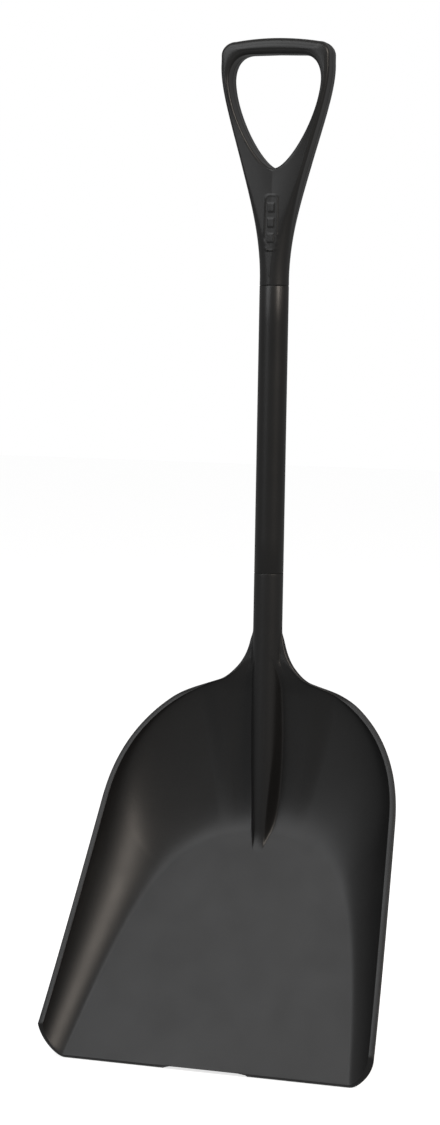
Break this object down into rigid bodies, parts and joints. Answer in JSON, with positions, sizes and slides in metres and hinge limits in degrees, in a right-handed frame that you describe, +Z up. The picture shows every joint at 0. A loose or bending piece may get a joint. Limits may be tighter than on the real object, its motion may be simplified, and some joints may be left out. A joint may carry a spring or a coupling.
{
  "type": "grain scoop shovel",
  "caption": "Long-handled grain scoop: deep flat-floored scoop with raised sides and a frog running up into a socket, round shaft, D-shaped hand grip.",
  "frame": {"origin": "middle of the tool's bounding box, at the height of the lip's lowest edge", "axes": "+Z up along the shaft to the grip, -Y the way the scoop opens, +X to the right as seen looking into the scoop"},
  "size_m": [0.369, 0.1956, 1.07],
  "materials": {
    "black_polymer": "black polypropylene, satin with a very fine grain",
    "shaft_polymer": "black polymer tube, smooth satin",
    "grip_polymer": "black polypropylene, satin, a little polished by hands",
    "plug_wood": "plain turned hardwood",
    "screw_steel": "zinc-plated steel"
  },
  "bodies": {
    "root": {"scoop_blade": "black_polymer", "shaft_tube": "shaft_polymer", "d_grip": "grip_polymer", "lower_core_plug": "plug_wood", "upper_core_plug": "plug_wood", "blade_screw": "screw_steel", "grip_screw": "screw_steel"}
  },
  "joints": []
}
